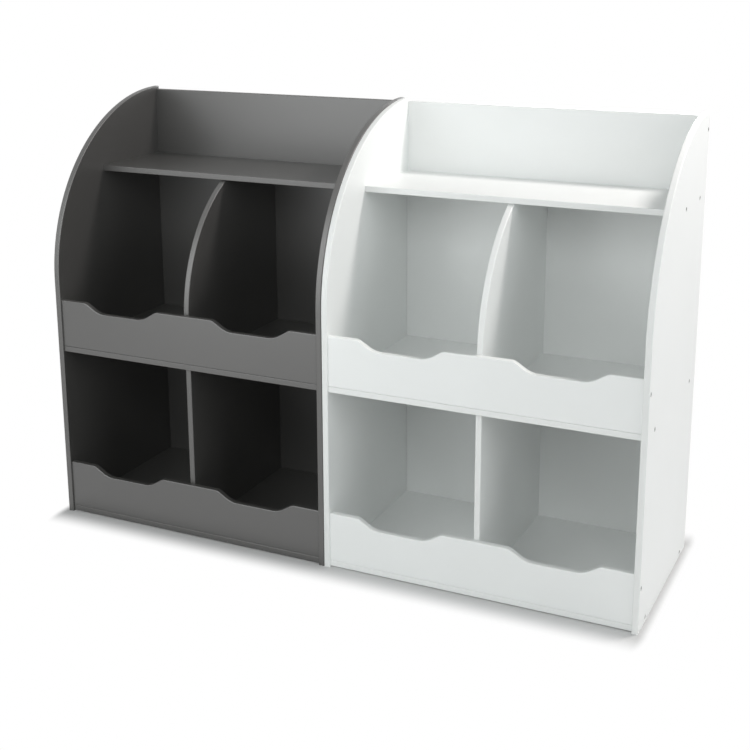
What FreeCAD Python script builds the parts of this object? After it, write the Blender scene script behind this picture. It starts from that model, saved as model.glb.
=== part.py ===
import FreeCAD, Part
import math
import os

# Two identical toy organizers that stand side by side, one dark grey and one white.
# Each is a knock-down carcass of 12 mm boards: two curved side panels, three shelves, a divider in
# each storey, a scalloped front along the foot of each storey, thin backs in grooves and a back
# board above the top shelf. Screws hold the sides, dowels locate the pieces between the shelves.
# All sizes are millimetres. X runs along the width, Y to the rear, Z up, and the origin lies on the
# floor under the middle of the pair.

Vector = FreeCAD.Vector

# ---- overall size of one organizer ----
unit_width = 628.0
unit_depth = 391.0
unit_height = 889.0
pair_gap = 0.4            # between the facing sides of the two organizers

# ---- boards ----
board = 12.0              # every board but the thin backs
thin_back = 3.0           # backs of the bins
edge_ease = 1.2           # eased edges of sides, dividers, fronts and the back board
shelf_ease = 0.8          # eased front edges of the shelves
seam_ease = 0.6           # eased edge at the foot of a front, which makes the seam line

# ---- side panels ----
curve_height = 371.0      # height of the elliptical part of the side's front edge

# ---- storeys ----
floor_lift = 2.0          # underside of the bottom shelf above the floor
storey_height = 350.0     # clear height of the lower and of the upper bins
front_recess = 4.0        # shelves and fronts behind the front edges of the sides
top_shelf_front = 170.0   # front edge of the top shelf behind the front edges of the sides
back_board_drop = 6.0     # top of the back board under the top of the sides

# ---- dividers ----
divider_curve_start = 90.0    # above the middle shelf, where the upper divider's front curves back
divider_setback = 2.0         # top of the curved divider behind the front edge of the top shelf

# ---- scalloped fronts ----
front_height = 100.0
dip_depth = 20.0
dip_top_width = 174.0     # between the corners where the ramps leave the rim
dip_floor_width = 107.0   # between the corners where the ramps meet the dip's floor
dip_rim_radius = 16.0
dip_floor_radius = 44.0

# ---- grooves for the thin backs ----
groove_inset = 12.0       # rear edge of the boards to the rear wall of the groove
groove_depth = 4.5        # in the sides
shelf_groove_depth = 3.0
groove_clearance = 0.1    # on each face of a thin back
groove_end_clearance = 0.5

# ---- screws ----
screw_length = 45.0
screw_radius = 2.25
screw_head_radius = 4.5
screw_head_height = 2.5
screw_sides = 10          # flats that stand for the round of a screw and its hole
screw_clearance = 0.1
screw_inset = 50.0        # from the front and rear edges of a shelf
back_screw_drop = 27.0    # under the top of the back board
front_screw_height = 72.0    # above the foot of a front

# ---- dowels ----
dowel_radius = 3.0
dowel_sides = 8           # flats that stand for a fluted dowel and its hole
dowel_in_end = 14.0       # length of dowel in the end of a board
dowel_in_face = 6.0       # length of dowel in the face of a shelf
dowel_clearance = 0.05
dowel_end_clearance = 0.5
divider_pin_inset = 60.0    # from the front and rear edges of a divider
rail_pin_inset = 110.0      # from the ends of a front or of the back board

# ---- places that follow from the sizes above ----
inner_left = board
inner_right = unit_width - board
inner_width = inner_right - inner_left
mid_x = unit_width / 2
bottom_z = floor_lift
lower_floor = bottom_z + board
lower_ceiling = lower_floor + storey_height
upper_floor = lower_ceiling + board
upper_ceiling = upper_floor + storey_height
tray_floor = upper_ceiling + board
back_board_top = unit_height - back_board_drop
groove_rear = unit_depth - groove_inset + groove_clearance
groove_front = groove_rear - thin_back - 2 * groove_clearance
thin_back_front = groove_front + groove_clearance
front_back_face = front_recess + board
divider_left = mid_x - board / 2
divider_front = front_back_face


def line(start, end):
    """Straight edge between two points."""
    return Part.LineSegment(start, end).toShape()


def arc(start, middle, end):
    """Circular edge through three points."""
    return Part.Arc(start, middle, end).toShape()


def quarter_ellipse(centre, first, second):
    """Quarter of an ellipse from the end of one half axis to the end of the other."""
    major, minor = first, second
    if second.distanceToPoint(centre) > first.distanceToPoint(centre):
        major, minor = second, first
    ellipse = Part.Ellipse(major, minor, centre)
    return Part.ArcOfEllipse(ellipse, 0, math.pi / 2).toShape()


def extruded(edges, direction):
    """Solid made by pushing a closed outline along a direction."""
    wire = Part.Wire(Part.__sortEdges__(edges))
    return Part.Face(wire).extrude(direction)


def box(low, high):
    """Block between two opposite corners."""
    size = high - low
    return Part.makeBox(size.x, size.y, size.z, low)


def eased(solid, size, wanted):
    """The solid with a small chamfer on every edge that the test picks."""
    edges = [edge for edge in solid.Edges if wanted(edge)]
    return solid.makeChamfer(size, edges)


def lies_at(edge, axis, value):
    """Whether an edge lies whole in the plane where one coordinate has a value."""
    low = getattr(edge.BoundBox, axis + "Min")
    high = getattr(edge.BoundBox, axis + "Max")
    return abs(low - value) < 1e-4 and abs(high - value) < 1e-4


def prism(sides, radius, start, end):
    """Straight many-sided pin or hole between two points."""
    corners = []
    for corner in range(sides + 1):
        turn = 2 * math.pi * corner / sides
        corners.append(Vector(radius * math.cos(turn), radius * math.sin(turn), 0))
    along = end - start
    pin = Part.Face(Part.makePolygon(corners)).extrude(Vector(0, 0, along.Length))
    pin.Placement = FreeCAD.Placement(start, FreeCAD.Rotation(Vector(0, 0, 1), along))
    return pin


def screw_at(point, direction):
    """Screw whose head lies flush at a point and whose tip points along a direction."""
    head_end = point + direction * screw_head_height
    head = prism(screw_sides, screw_head_radius, point, head_end)
    shank = prism(screw_sides, screw_radius, head_end, point + direction * screw_length)
    return head.fuse(shank)


def screw_hole(point, direction):
    """Clearance space of one screw: head, shank and a little room past its tip."""
    head_end = point + direction * (screw_head_height + screw_clearance)
    hole_end = point + direction * (screw_length + screw_clearance)
    head = prism(screw_sides, screw_head_radius + screw_clearance, point, head_end)
    shank = prism(screw_sides, screw_radius + screw_clearance, head_end, hole_end)
    return head.fuse(shank)


def dowel_at(foot, length):
    """Upright dowel."""
    return prism(dowel_sides, dowel_radius, foot, foot + Vector(0, 0, length))


def dowel_hole(foot, length):
    """Clearance space of an upright dowel."""
    low = foot - Vector(0, 0, dowel_end_clearance)
    high = foot + Vector(0, 0, length + dowel_end_clearance)
    return prism(dowel_sides, dowel_radius + dowel_clearance, low, high)


# ---- places of the screws and dowels of one organizer ----

def side_screw_places():
    """Depth and height of the nine screws in each side panel."""
    rear = unit_depth - screw_inset
    front = front_recess + screw_inset
    top_front = top_shelf_front + screw_inset
    front_middle = front_recess + board / 2
    return [
        (unit_depth - board / 2, back_board_top - back_screw_drop),
        (rear, upper_ceiling + board / 2),
        (top_front, upper_ceiling + board / 2),
        (rear, lower_ceiling + board / 2),
        (front, lower_ceiling + board / 2),
        (rear, bottom_z + board / 2),
        (front, bottom_z + board / 2),
        (front_middle, upper_floor + front_screw_height),
        (front_middle, lower_floor + front_screw_height),
    ]


def left_screw_seats():
    """Head point and direction of each screw in the left side."""
    return [(Vector(0, y, z), Vector(1, 0, 0)) for y, z in side_screw_places()]


def right_screw_seats():
    """Head point and direction of each screw in the right side."""
    return [(Vector(unit_width, y, z), Vector(-1, 0, 0)) for y, z in side_screw_places()]


def divider_pin_depths():
    """Depths of the two screws or dowels along the foot or head of a divider."""
    return [divider_front + divider_pin_inset, thin_back_front - divider_pin_inset]


def divider_screw_seats():
    """Head point and direction of the screws under the bottom shelf."""
    return [(Vector(mid_x, y, bottom_z), Vector(0, 0, 1)) for y in divider_pin_depths()]


def head_pin_depths():
    """Depths of the two dowels in the head of the upper divider."""
    front = top_shelf_front + divider_setback + divider_pin_inset
    return [front, thin_back_front - divider_pin_inset]


def divider_dowel_seats():
    """Foot and length of the dowels at the middle shelf and under the top shelf."""
    through = board + 2 * dowel_in_end
    low = lower_ceiling - dowel_in_end
    high = upper_ceiling - dowel_in_end
    seats = [(Vector(mid_x, y, low), through) for y in divider_pin_depths()]
    seats += [(Vector(mid_x, y, high), dowel_in_end + dowel_in_face) for y in head_pin_depths()]
    return seats


def rail_pin_places():
    """Places along the width of the two dowels under a front or the back board."""
    return [inner_left + rail_pin_inset, inner_right - rail_pin_inset]


def front_dowel_seats():
    """Foot and length of the dowels under both fronts."""
    seats = []
    for floor in (lower_floor, upper_floor):
        for x in rail_pin_places():
            foot = Vector(x, front_recess + board / 2, floor - dowel_in_face)
            seats.append((foot, dowel_in_face + dowel_in_end))
    return seats


def back_dowel_seats():
    """Foot and length of the dowels under the back board."""
    depth = unit_depth - board / 2
    length = dowel_in_face + dowel_in_end
    return [(Vector(x, depth, tray_floor - dowel_in_face), length) for x in rail_pin_places()]


def drilled(solid):
    """The solid with the holes of every screw and dowel that reaches into it."""
    tools = [screw_hole(point, way) for point, way in left_screw_seats()]
    tools += [screw_hole(point, way) for point, way in right_screw_seats()]
    tools += [screw_hole(point, way) for point, way in divider_screw_seats()]
    seats = divider_dowel_seats() + front_dowel_seats() + back_dowel_seats()
    tools += [dowel_hole(foot, length) for foot, length in seats]
    reaching = [tool for tool in tools if solid.BoundBox.intersect(tool.BoundBox)]
    return solid.cut(reaching)


# ---- the boards of one organizer ----

def side_panel(outer_x, inner_x):
    """Side panel: straight front edge below, a quarter ellipse up to the top rear corner."""
    curve_foot = unit_height - curve_height
    low_front = Vector(outer_x, 0, 0)
    high_front = Vector(outer_x, 0, curve_foot)
    top_rear = Vector(outer_x, unit_depth, unit_height)
    low_rear = Vector(outer_x, unit_depth, 0)
    centre = Vector(outer_x, unit_depth, curve_foot)
    outline = [
        line(low_front, high_front),
        quarter_ellipse(centre, high_front, top_rear),
        line(top_rear, low_rear),
        line(low_rear, low_front),
    ]
    panel = extruded(outline, Vector(inner_x - outer_x, 0, 0))

    def on_front(edge):
        across = lies_at(edge, "X", outer_x) or lies_at(edge, "X", inner_x)
        return across and not lies_at(edge, "Y", unit_depth) and not lies_at(edge, "Z", 0)

    panel = eased(panel, edge_ease, on_front)
    inward = math.copysign(1, inner_x - outer_x)
    groove_end = upper_ceiling + board / 2
    corner_a = Vector(inner_x - inward * groove_depth, groove_front, 0)
    corner_b = Vector(inner_x + inward, groove_rear, groove_end)
    low = Vector(min(corner_a.x, corner_b.x), groove_front, 0)
    high = Vector(max(corner_a.x, corner_b.x), groove_rear, groove_end)
    return drilled(panel.cut(box(low, high)))


def shelf(front, underside, groove_above, groove_below):
    """Shelf between the sides, with grooves for the thin backs above and below it."""
    low = Vector(inner_left, front, underside)
    high = Vector(inner_right, unit_depth, underside + board)
    plate = eased(box(low, high), shelf_ease, lambda edge: is_front_edge(edge, front))
    if groove_above:
        plate = plate.cut(shelf_groove(underside + board - shelf_groove_depth))
    if groove_below:
        plate = plate.cut(shelf_groove(underside))
    return drilled(plate)


def is_front_edge(edge, front):
    """Whether an edge runs along the width at a given depth."""
    return lies_at(edge, "Y", front) and edge.BoundBox.XLength > board


def shelf_groove(bottom):
    """Space of a groove along the whole width of a shelf."""
    low = Vector(inner_left, groove_front, bottom)
    high = Vector(inner_right, groove_rear, bottom + shelf_groove_depth)
    return box(low, high)


def back_board():
    """Back board that stands on the rear of the top shelf."""
    low = Vector(inner_left, unit_depth - board, tray_floor)
    high = Vector(inner_right, unit_depth, back_board_top)

    def on_top(edge):
        return lies_at(edge, "Z", back_board_top) and edge.BoundBox.XLength > board

    return drilled(eased(box(low, high), edge_ease, on_top))


def thin_back_panel(floor, ceiling):
    """Thin back behind one storey of bins, seated in the grooves on all four sides."""
    reach = groove_depth - groove_end_clearance
    shelf_reach = shelf_groove_depth - groove_end_clearance
    low = Vector(inner_left - reach, thin_back_front, floor - shelf_reach)
    high = Vector(inner_right + reach, thin_back_front + thin_back, ceiling + shelf_reach)
    return box(low, high)


def lower_divider():
    """Upright board that parts the lower bins."""
    low = Vector(divider_left, divider_front, lower_floor)
    high = Vector(divider_left + board, thin_back_front, lower_ceiling)
    return drilled(eased(box(low, high), edge_ease, is_divider_nose))


def upper_divider():
    """Upright board that parts the upper bins, its front an arc up to the top shelf."""
    head_front = top_shelf_front + divider_setback
    curve_foot = upper_floor + divider_curve_start
    back = head_front - divider_front
    rise = upper_ceiling - curve_foot
    radius = (back * back + rise * rise) / (2 * back)
    half_turn = math.atan2(back, rise)
    middle_y = divider_front + radius * (1 - math.cos(half_turn))
    middle_z = curve_foot + radius * math.sin(half_turn)

    def at(depth, height):
        return Vector(divider_left, depth, height)

    outline = [
        line(at(divider_front, upper_floor), at(divider_front, curve_foot)),
        arc(at(divider_front, curve_foot), at(middle_y, middle_z), at(head_front, upper_ceiling)),
        line(at(head_front, upper_ceiling), at(thin_back_front, upper_ceiling)),
        line(at(thin_back_front, upper_ceiling), at(thin_back_front, upper_floor)),
        line(at(thin_back_front, upper_floor), at(divider_front, upper_floor)),
    ]
    plate = extruded(outline, Vector(board, 0, 0))
    return drilled(eased(plate, edge_ease, is_divider_nose))


def is_divider_nose(edge):
    """Whether an edge belongs to the front outline on either face of a divider."""
    on_face = lies_at(edge, "X", divider_left) or lies_at(edge, "X", divider_left + board)
    level = edge.BoundBox.ZLength < 1e-4
    return on_face and not level and not lies_at(edge, "Y", thin_back_front)


def corner_cut(before, corner, after, radius):
    """Start, middle and end of the arc that rounds the corner between two straight runs."""
    back = (before - corner).normalize()
    ahead = (after - corner).normalize()
    half_angle = back.getAngle(ahead) / 2
    reach = radius / math.tan(half_angle)
    bisector = (back + ahead).normalize()
    centre = corner + bisector * (radius / math.sin(half_angle))
    return corner + back * reach, centre - bisector * radius, corner + ahead * reach


def rim_line(rim):
    """Corners of the scalloped rim from left to right, each with its rounding radius."""
    bin_width = divider_left - inner_left
    bin_centres = (inner_left + bin_width / 2, inner_right - bin_width / 2)
    dip_floor = rim - dip_depth
    corners = []
    for centre in bin_centres:
        corners.append((centre - dip_top_width / 2, rim, dip_rim_radius))
        corners.append((centre - dip_floor_width / 2, dip_floor, dip_floor_radius))
        corners.append((centre + dip_floor_width / 2, dip_floor, dip_floor_radius))
        corners.append((centre + dip_top_width / 2, rim, dip_rim_radius))
    return corners


def scalloped_front(foot):
    """Front that stands on a shelf between the sides, with a rounded dip before each bin."""
    rim = foot + front_height
    low_left = Vector(inner_left, front_recess, foot)
    low_right = Vector(inner_right, front_recess, foot)
    left_end = Vector(inner_left, front_recess, rim)
    right_end = Vector(inner_right, front_recess, rim)
    corners = [(Vector(x, front_recess, z), radius) for x, z, radius in rim_line(rim)]
    path = [left_end] + [corner for corner, radius in corners] + [right_end]
    edges = []
    reached = left_end
    for index, (corner, radius) in enumerate(corners):
        start, middle, end = corner_cut(path[index], corner, path[index + 2], radius)
        edges.append(line(reached, start))
        edges.append(arc(start, middle, end))
        reached = end
    edges.append(line(reached, right_end))
    edges.append(line(right_end, low_right))
    edges.append(line(low_right, low_left))
    edges.append(line(low_left, left_end))
    plate = extruded(edges, Vector(0, board, 0))

    def on_rim(edge):
        level_ends = edge.BoundBox.XLength > 1e-4 and edge.BoundBox.ZMin > foot + 1e-4
        return level_ends and edge.BoundBox.YLength < 1e-4

    def on_foot(edge):
        return lies_at(edge, "Z", foot) and lies_at(edge, "Y", front_recess)

    plate = eased(plate, edge_ease, on_rim)
    return drilled(eased(plate, seam_ease, on_foot))


def screws(seats):
    """Group of screws, one solid each."""
    return Part.makeCompound([screw_at(point, way) for point, way in seats])


def dowels(seats):
    """Group of dowels, one solid each."""
    return Part.makeCompound([dowel_at(foot, length) for foot, length in seats])


def organizer():
    """Every piece of one organizer, by name, with its lower left front corner at the origin."""
    return {
        "left_side": side_panel(0, board),
        "right_side": side_panel(unit_width, unit_width - board),
        "bottom_shelf": shelf(front_recess, bottom_z, True, False),
        "middle_shelf": shelf(front_recess, lower_ceiling, True, True),
        "top_shelf": shelf(top_shelf_front, upper_ceiling, False, True),
        "top_back": back_board(),
        "lower_back_panel": thin_back_panel(lower_floor, lower_ceiling),
        "upper_back_panel": thin_back_panel(upper_floor, upper_ceiling),
        "lower_divider": lower_divider(),
        "upper_divider": upper_divider(),
        "lower_front": scalloped_front(lower_floor),
        "upper_front": scalloped_front(upper_floor),
        "left_side_screws": screws(left_screw_seats()),
        "right_side_screws": screws(right_screw_seats()),
        "divider_screws": screws(divider_screw_seats()),
        "divider_dowels": dowels(divider_dowel_seats()),
        "front_dowels": dowels(front_dowel_seats()),
        "top_back_dowels": dowels(back_dowel_seats()),
    }


def export_pair():
    """Write each piece of both organizers, grey on the left and white on the right."""
    os.makedirs("parts", exist_ok=True)
    pieces = organizer()
    left_edges = {"grey": -pair_gap / 2 - unit_width, "white": pair_gap / 2}
    for colour, left_edge in left_edges.items():
        shift = Vector(left_edge, -unit_depth / 2, 0)
        for name, shape in pieces.items():
            placed = shape.copy()
            placed.translate(shift)
            placed.exportStep("parts/" + colour + "_" + name + ".step")


export_pair()
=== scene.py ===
import math

import bmesh
import bpy
from mathutils import Euler, Matrix, Vector


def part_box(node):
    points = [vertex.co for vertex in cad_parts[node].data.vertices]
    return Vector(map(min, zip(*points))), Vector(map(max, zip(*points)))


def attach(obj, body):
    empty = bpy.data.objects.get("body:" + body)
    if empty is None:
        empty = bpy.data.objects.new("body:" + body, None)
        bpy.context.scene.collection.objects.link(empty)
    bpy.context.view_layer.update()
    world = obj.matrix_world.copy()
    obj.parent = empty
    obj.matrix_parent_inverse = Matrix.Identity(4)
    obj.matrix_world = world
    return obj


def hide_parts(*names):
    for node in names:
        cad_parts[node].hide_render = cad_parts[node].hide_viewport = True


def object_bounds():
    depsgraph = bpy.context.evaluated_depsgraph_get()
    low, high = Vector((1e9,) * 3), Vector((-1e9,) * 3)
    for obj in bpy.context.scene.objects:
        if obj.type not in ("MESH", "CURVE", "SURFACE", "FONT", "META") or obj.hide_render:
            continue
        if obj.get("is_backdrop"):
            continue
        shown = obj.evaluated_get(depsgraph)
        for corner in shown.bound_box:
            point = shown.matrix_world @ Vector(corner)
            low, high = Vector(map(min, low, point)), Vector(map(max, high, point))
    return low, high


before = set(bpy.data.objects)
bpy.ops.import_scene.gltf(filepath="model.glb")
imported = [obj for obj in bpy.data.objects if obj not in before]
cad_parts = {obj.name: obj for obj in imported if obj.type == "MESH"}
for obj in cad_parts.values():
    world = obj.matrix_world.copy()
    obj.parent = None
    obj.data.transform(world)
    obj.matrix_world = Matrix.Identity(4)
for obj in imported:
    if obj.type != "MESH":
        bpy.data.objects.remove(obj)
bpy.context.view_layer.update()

bl_info = {
    "name": "Toy organizer pair",
    "version": (1, 0, 0),
    "blender": (4, 5, 0),
    "location": "View3D > Sidebar > Organizer",
    "description": "Boards, screws, paint and stage of two toy organizers that stand side by side",
    "category": "Object",
}

UNITS = ("grey", "white")
BODY = "root"

# How finely curves are drawn, and what counts as flat, sharp or broad.
FLAT_TOLERANCE = 1e-5
EDGE_STEPS = 4
SIDE_CURVE_STEPS = 56
DIVIDER_CURVE_STEPS = 32
RIM_CORNER_STEPS = 6
FLOOR_CORNER_STEPS = 10
RECESS_SIDES = 28
HEAD_SIDES = 24
SHARP_ANGLE = math.radians(38)
BROAD_FACE_COSINE = 0.93

# Rounding of a screw head, and the width of a tip as a share of the shank's.
HEAD_ROUNDING = 0.0004
TIP_SHARE = 0.25

# Paleness of the floor for shared light, and how fast its shadow fades.
SHARED_FLOOR_PALENESS = 0.8
FADE_AT_ENDS = 4.0
FADE_AT_FRONT = 1.2


# ---- what a user would change ----


def length_property(name, description, default, least):
    """Setting that holds a length in metres."""
    return bpy.props.FloatProperty(
        name=name, description=description, default=default, min=least, unit="LENGTH",
        precision=4)


class BoardSizes(bpy.types.PropertyGroup):
    """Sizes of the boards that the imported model's boxes don't give."""

    edge_radius: length_property(
        "Edge radius", "Rounding of the edges of sides, dividers and fronts",
        default=0.0019, least=0.0002)
    shelf_radius: length_property(
        "Shelf edge radius", "Rounding of the front edges of the shelves",
        default=0.0013, least=0.0002)
    seam_radius: length_property(
        "Seam radius", "Softened edge where one board meets the next",
        default=0.0008, least=0.0001)
    curve_height: length_property(
        "Curve height", "Height of the elliptical part of a side's front edge",
        default=0.371, least=0.05)
    divider_curve_start: length_property(
        "Divider curve start", "Straight foot of the upper divider's front edge",
        default=0.090, least=0.0)
    divider_setback: length_property(
        "Divider setback", "Curved divider's head behind the top shelf's front",
        default=0.002, least=0.0)
    groove_gap: length_property(
        "Groove gap", "Open part of a groove in front of its thin back",
        default=0.0009, least=0.0001)
    front_lift: length_property(
        "Front lift", "Thin gap between a scalloped front and its shelf",
        default=0.0004, least=0.0)


class FrontSizes(bpy.types.PropertyGroup):
    """Sizes of the dips in the scalloped fronts."""

    dip_depth: length_property(
        "Dip depth", "Depth of a dip below the rim",
        default=0.020, least=0.001)
    dip_top_width: length_property(
        "Dip width at the rim", "Between the corners where ramps leave the rim",
        default=0.174, least=0.01)
    dip_floor_width: length_property(
        "Dip width at the floor", "Between the corners at the foot of the ramps",
        default=0.107, least=0.01)
    rim_rounding: length_property(
        "Rim corner radius", "Rounding where a ramp leaves the rim",
        default=0.016, least=0.001)
    floor_rounding: length_property(
        "Floor corner radius", "Rounding where a ramp meets the dip's floor",
        default=0.044, least=0.001)


class ScrewSizes(bpy.types.PropertyGroup):
    """Sizes and places of the screws."""

    head_radius: length_property(
        "Head radius", "Radius of a screw head",
        default=0.0045, least=0.001)
    head_height: length_property(
        "Head height", "Height of a screw head",
        default=0.0025, least=0.0005)
    shank_radius: length_property(
        "Shank radius", "Radius of a screw's shank",
        default=0.00225, least=0.0005)
    length: length_property(
        "Screw length", "From the top of the head to the tip",
        default=0.045, least=0.01)
    socket_width: length_property(
        "Socket width", "Across the flats of the hexagon socket",
        default=0.004, least=0.001)
    socket_depth: length_property(
        "Socket depth", "Depth of the hexagon socket",
        default=0.0018, least=0.0002)
    recess: length_property(
        "Recess", "How far a head lies under the board's face",
        default=0.0003, least=0.0)
    recess_gap: length_property(
        "Recess gap", "Room around a head in its recess",
        default=0.0003, least=0.0)
    shelf_inset: length_property(
        "Shelf screw inset", "From the front and rear edges of a shelf",
        default=0.050, least=0.005)
    back_drop: length_property(
        "Back screw drop", "Under the top of the back board",
        default=0.027, least=0.005)
    front_height: length_property(
        "Front screw height", "Above the foot of a front",
        default=0.072, least=0.005)
    divider_inset: length_property(
        "Divider screw inset", "From the lower divider's front and rear edges",
        default=0.060, least=0.005)


class PaintColours(bpy.types.PropertyGroup):
    """Colours of the finishes."""

    grey_face: bpy.props.FloatVectorProperty(
        name="Grey face", description="Faces of the grey boards",
        default=(0.059, 0.0578, 0.0555), size=3, min=0.0, max=1.0, subtype="COLOR")
    grey_edge: bpy.props.FloatVectorProperty(
        name="Grey edge", description="Edges of the grey boards",
        default=(0.056, 0.0545, 0.052), size=3, min=0.0, max=1.0, subtype="COLOR")
    white_face: bpy.props.FloatVectorProperty(
        name="White face", description="Faces of the white boards",
        default=(0.855, 0.872, 0.864), size=3, min=0.0, max=1.0, subtype="COLOR")
    white_edge: bpy.props.FloatVectorProperty(
        name="White edge", description="Edges of the white boards",
        default=(0.81, 0.825, 0.815), size=3, min=0.0, max=1.0, subtype="COLOR")
    steel: bpy.props.FloatVectorProperty(
        name="Screw steel", description="Plated steel of the screws",
        default=(0.46, 0.46, 0.45), size=3, min=0.0, max=1.0, subtype="COLOR")
    beech: bpy.props.FloatVectorProperty(
        name="Dowel beech", description="Bare wood of the dowels",
        default=(0.62, 0.43, 0.25), size=3, min=0.0, max=1.0, subtype="COLOR")


class StageSettings(bpy.types.PropertyGroup):
    """Camera, lamps and floor."""

    camera_place: bpy.props.FloatVectorProperty(
        name="Camera place", description="Where the camera stands",
        default=(1.0799, -2.2428, 1.1725), size=3, subtype="TRANSLATION", unit="LENGTH")
    camera_yaw: bpy.props.FloatProperty(
        name="Camera yaw", description="Turn of the camera to the left",
        default=0.4410, subtype="ANGLE", unit="ROTATION")
    camera_pitch: bpy.props.FloatProperty(
        name="Camera pitch", description="Tilt of the camera above the horizon",
        default=-0.2408, subtype="ANGLE", unit="ROTATION")
    camera_roll: bpy.props.FloatProperty(
        name="Camera roll", description="Turn of the camera about its own axis",
        default=-0.0031, subtype="ANGLE", unit="ROTATION")
    camera_lens: bpy.props.FloatProperty(
        name="Lens", description="Focal length in millimetres on a 36 mm sensor",
        default=61.08, min=10.0)
    camera_shift: bpy.props.FloatProperty(
        name="Vertical shift", description="Shift of the lens as a share of the frame",
        default=-0.14)
    ambient: bpy.props.FloatProperty(
        name="Ambient", description="Strength of the studio's even light",
        default=0.10, min=0.0)
    key_lamp: bpy.props.FloatProperty(
        name="Key lamp", description="Power of the small lamp above the right end",
        default=19.5, min=0.0, subtype="POWER")
    right_side: bpy.props.FloatProperty(
        name="Right side softbox", description="Power of the softbox at the right",
        default=34.0, min=0.0, subtype="POWER")
    over_camera: bpy.props.FloatProperty(
        name="Camera softbox", description="Power of the softbox above the camera",
        default=26.0, min=0.0, subtype="POWER")
    high_front: bpy.props.FloatProperty(
        name="High front softbox", description="Power of the softbox high in front",
        default=6.5, min=0.0, subtype="POWER")
    left_front: bpy.props.FloatProperty(
        name="Left front softbox", description="Power of the softbox at the left of the front",
        default=9.6, min=0.0, subtype="POWER")
    left_low: bpy.props.FloatProperty(
        name="Low left softbox", description="Power of the low softbox at the left of the front",
        default=3.7, min=0.0, subtype="POWER")
    rear: bpy.props.FloatProperty(
        name="Rear softbox", description="Power of the softbox behind the backs",
        default=45.0, min=0.0, subtype="POWER")
    key_tint: bpy.props.FloatVectorProperty(
        name="Key tint", description="Colour of the key lamp",
        default=(1.0, 0.953, 0.935), size=3, min=0.0, max=1.0, subtype="COLOR")
    soft_tint: bpy.props.FloatVectorProperty(
        name="Softbox tint", description="Colour of the softboxes",
        default=(0.972, 1.0, 0.998), size=3, min=0.0, max=1.0, subtype="COLOR")
    floor_gain: bpy.props.FloatProperty(
        name="Floor gain", description="How pale the lit floor near the pair looks in the picture",
        default=0.6, min=0.0)
    shadow_reach: bpy.props.FloatProperty(
        name="Shadow reach", description="Weighted distance at which the floor's shadow has faded",
        default=0.085, min=0.001, unit="LENGTH", precision=3)


# ---- shaping with bmesh operators ----


def is_flat_on(edge, axis, value):
    """Whether both ends of an edge have the given coordinate on one axis."""
    return all(abs(vert.co[axis] - value) < FLAT_TOLERANCE for vert in edge.verts)


def block(bm, low, high):
    """A box between two corners."""
    size = high - low
    place = Matrix.Translation((low + high) / 2) @ Matrix.Diagonal((*size, 1.0))
    bmesh.ops.create_cube(bm, size=1.0, matrix=place)


def push(bm, offset):
    """Gives the one flat outline in the mesh its thickness."""
    grown = bmesh.ops.extrude_face_region(bm, geom=bm.faces[:])
    moved = [item for item in grown["geom"] if isinstance(item, bmesh.types.BMVert)]
    bmesh.ops.translate(bm, vec=offset, verts=moved)


def round_edges(bm, radius, segments, wanted):
    """Rounds every edge that the test picks."""
    edges = [edge for edge in bm.edges if wanted(edge)]
    bmesh.ops.bevel(
        bm, geom=edges, offset=radius, offset_type="OFFSET", segments=segments,
        profile=0.5, affect="EDGES", clamp_overlap=True, material=-1)


def round_corners(bm, verts, reach, segments):
    """Rounds corners of a flat outline, starting at a given reach along their edges."""
    bmesh.ops.bevel(
        bm, geom=verts, offset=reach, offset_type="OFFSET", segments=segments,
        profile=0.5, affect="VERTICES", clamp_overlap=True, material=-1)


def swing(bm, vert, centre, angle, steps):
    """Draws an arc of edges from a vertex about the X direction and returns its last vertex."""
    drawn = bmesh.ops.spin(
        bm, geom=[vert], cent=centre, axis=(1, 0, 0), dvec=(0, 0, 0), angle=angle,
        space=Matrix.Identity(4), steps=steps, use_merge=False, use_normal_flip=False,
        use_duplicate=False)
    return [item for item in drawn["geom_last"] if isinstance(item, bmesh.types.BMVert)][0]


def ring_outline(place, outward, radius):
    """Corners of a round outline about a place, on the face that looks outward."""
    turn = Vector((0, 0, 1)).rotation_difference(outward)
    angles = [math.tau * step / RECESS_SIDES for step in range(RECESS_SIDES)]
    return [
        place + turn @ Vector((radius * math.cos(angle), radius * math.sin(angle), 0))
        for angle in angles
    ]


def extend(bm, rim, offset):
    """Extends a ring of edges by an offset and returns the new ring."""
    grown = bmesh.ops.extrude_edge_only(bm, edges=rim)["geom"]
    verts = [item for item in grown if isinstance(item, bmesh.types.BMVert)]
    bmesh.ops.translate(bm, vec=offset, verts=verts)
    edges = [item for item in grown if isinstance(item, bmesh.types.BMEdge)]
    return [edge for edge in edges if all(vert in verts for vert in edge.verts)]


def sink(bm, outlines, inward, depth):
    """Sinks closed outlines into the flat face that holds them."""
    outward = -inward
    level = outlines[0][0].dot(outward)
    faces = [
        face for face in bm.faces
        if face.normal.dot(outward) > 0.999
        and abs(face.calc_center_median().dot(outward) - level) < FLAT_TOLERANCE
    ]
    face = max(faces, key=lambda item: item.calc_area())
    border = face.edges[:]
    bmesh.ops.delete(bm, geom=[face], context="FACES_ONLY")
    rings = []
    for outline in outlines:
        verts = [bm.verts.new(corner) for corner in outline]
        rings.append([bm.edges.new(pair) for pair in zip(verts, verts[1:] + verts[:1])])
    every = border + [edge for ring in rings for edge in ring]
    bmesh.ops.triangle_fill(bm, use_beauty=True, use_dissolve=False, edges=every, normal=outward)
    for ring in rings:
        bmesh.ops.contextual_create(bm, geom=extend(bm, ring, inward * depth))


def sink_recesses(bm, places, inward):
    """Sinks the recesses of screw heads."""
    screws = bpy.context.scene.organizer_screws
    radius = screws.head_radius + screws.recess_gap
    outlines = [ring_outline(place, -inward, radius) for place in places]
    sink(bm, outlines, inward, screws.recess + screws.head_height)


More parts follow.
